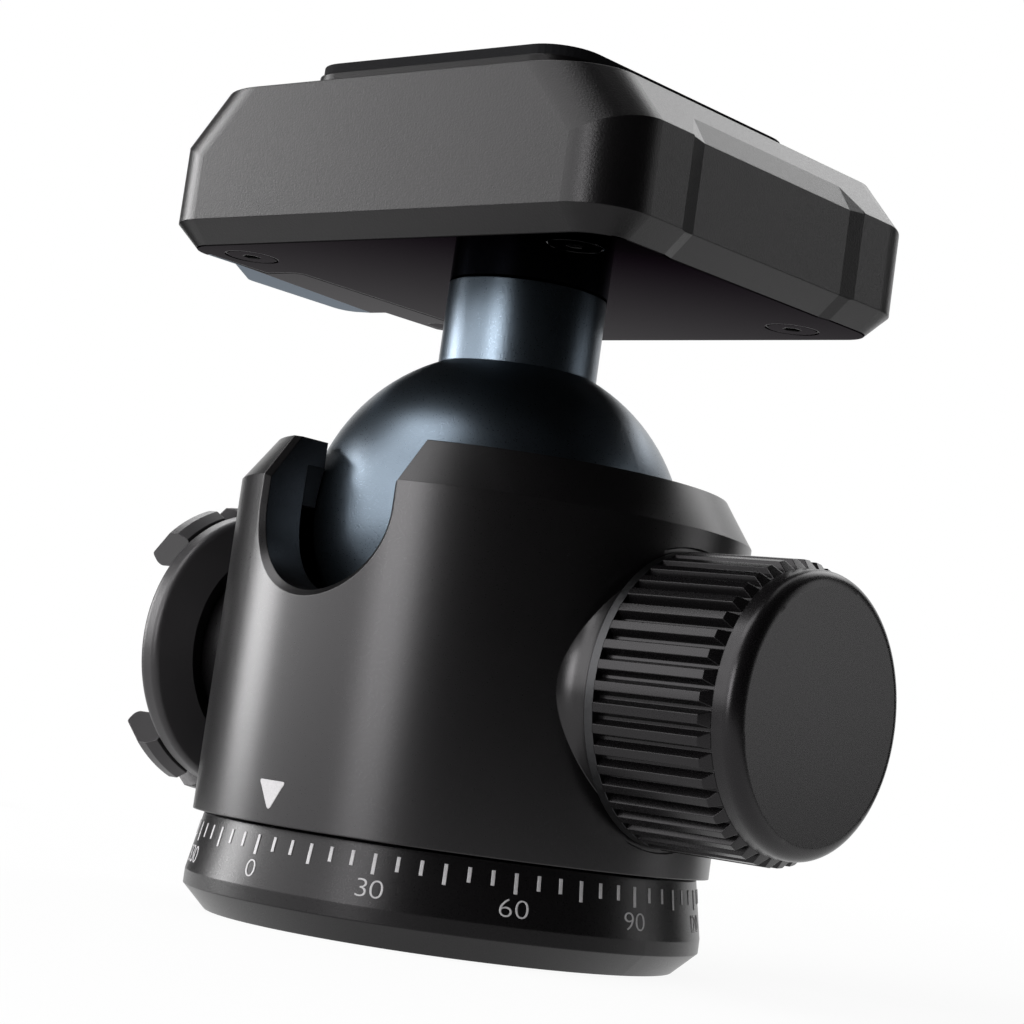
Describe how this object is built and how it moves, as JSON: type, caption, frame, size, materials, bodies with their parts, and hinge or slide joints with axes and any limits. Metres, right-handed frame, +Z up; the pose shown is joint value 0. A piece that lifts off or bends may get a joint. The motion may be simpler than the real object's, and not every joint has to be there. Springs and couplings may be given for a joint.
{
  "type": "tripod ball head",
  "caption": "Ball head for a camera tripod: turning base with degree dial, notched housing, ball and stem, knurled main knob, lobed pan knob and quick-release clamp.",
  "frame": {"origin": "on the flat underside of the pan base, on the axis of its threaded hole", "axes": "+Z up along the base's thread axis, -Y towards the drop notch, +X along the main knob's axis, -X towards the pan knob"},
  "size_m": [0.078, 0.0486, 0.0844],
  "materials": {
    "black_anodised": "satin anodised, fine grain",
    "grey_ball": "satin anodised, fine grain",
    "blue_lever": "satin anodised",
    "grey_steel": "satin",
    "plated_steel": "satin",
    "black_steel": "black oxide",
    "raw_aluminium": "machined",
    "brass": "machined",
    "liner_plastic": "smooth acetal",
    "black_plastic": "smooth acetal",
    "black_rubber": "ribbed matte"
  },
  "bodies": {
    "base": {"pan_base": "black_anodised", "pan_washer": "liner_plastic", "spindle_nut": "brass"},
    "housing": {"housing": "black_anodised", "housing_floor": "raw_aluminium", "top_liner": "black_plastic"},
    "main_knob": {"main_grip": "black_anodised", "main_flange": "grey_steel", "main_cap": "black_anodised", "main_screw": "plated_steel"},
    "wedge": {"main_plunger": "brass"},
    "cup": {"lower_cup": "raw_aluminium"},
    "pan_knob": {"pan_grip": "black_anodised", "pan_screw": "black_steel"},
    "pan_wedge": {"pan_plunger": "brass"},
    "brake": {"brake_pin": "liner_plastic"},
    "seat": {"seat_liner": "liner_plastic"},
    "ball": {"ball_stem": "grey_ball", "stem_bolt": "plated_steel"},
    "clamp": {"clamp_body": "black_anodised", "clamp_frame": "black_anodised", "lever_pin": "plated_steel", "camera_plate": "black_anodised", "rubber_pad": "black_rubber"},
    "lever": {"release_lever": "blue_lever"},
    "jaw": {"jaw": "black_anodised"},
    "camera_screw": {"camera_screw": "plated_steel"}
  },
  "joints": [
    {"name": "base_pan", "type": "hinge", "parent": "base", "child": "housing", "pos_m": [0, 0, 0.0087], "axis": [0, 0, 1], "continuous": true},
    {"name": "main_knob_turn", "type": "hinge", "parent": "housing", "child": "main_knob", "pos_m": [0.024, 0, 0.02455], "axis": [1, 0, 0], "range_deg": [0, 180]},
    {"name": "wedge_slide", "type": "slide", "parent": "housing", "child": "wedge", "axis": [1, 0, 0], "range_m": [0, 0.000624]},
    {"name": "cup_slide", "type": "slide", "parent": "housing", "child": "cup", "axis": [0, 0, -1], "range_m": [0, 0.00063]},
    {"name": "pan_knob_turn", "type": "hinge", "parent": "housing", "child": "pan_knob", "pos_m": [-0.0286, 0, 0.02455], "axis": [-1, 0, 0], "range_deg": [0, 180]},
    {"name": "pan_wedge_slide", "type": "slide", "parent": "housing", "child": "pan_wedge", "axis": [-1, 0, 0], "range_m": [0, 0.000499]},
    {"name": "brake_slide", "type": "slide", "parent": "housing", "child": "brake", "axis": [0, 0, 1], "range_m": [0, 0.000505]},
    {"name": "ball_lean", "type": "hinge", "parent": "housing", "child": "seat", "pos_m": [0, 0, 0.03735], "axis": [0, 1, 0], "range_deg": [-32, 32]},
    {"name": "ball_tilt", "type": "hinge", "parent": "seat", "child": "ball", "pos_m": [0, 0, 0.03735], "axis": [1, 0, 0], "range_deg": [-32, 90]},
    {"name": "ball_spin", "type": "hinge", "parent": "ball", "child": "clamp", "pos_m": [0, 0, 0.0618], "axis": [0, 0, 1], "continuous": true},
    {"name": "lever_turn", "type": "hinge", "parent": "clamp", "child": "lever", "pos_m": [-0.0239, 0.0142, 0.0638], "axis": [0, 0, -1], "range_deg": [0, 25], "stiffness_Nm_per_rad": 0.05, "springref_deg": -5.73},
    {"name": "jaw_slide", "type": "slide", "parent": "clamp", "child": "jaw", "axis": [-1, 0, 0], "range_m": [0, 0.0015]},
    {"name": "camera_screw_turn", "type": "hinge", "parent": "clamp", "child": "camera_screw", "pos_m": [0, 0, 0.078], "axis": [0, 0, 1], "continuous": true}
  ],
  "couplings": [
    {"joint": "main_knob_turn", "follows": "wedge_slide", "rad_per_m": 5026.5},
    {"joint": "cup_slide", "follows": "wedge_slide", "ratio": 1},
    {"joint": "pan_knob_turn", "follows": "pan_wedge_slide", "rad_per_m": 6283.2},
    {"joint": "brake_slide", "follows": "pan_wedge_slide", "ratio": 1},
    {"joint": "lever_turn", "follows": "jaw_slide", "rad_per_m": 290.89}
  ]
}
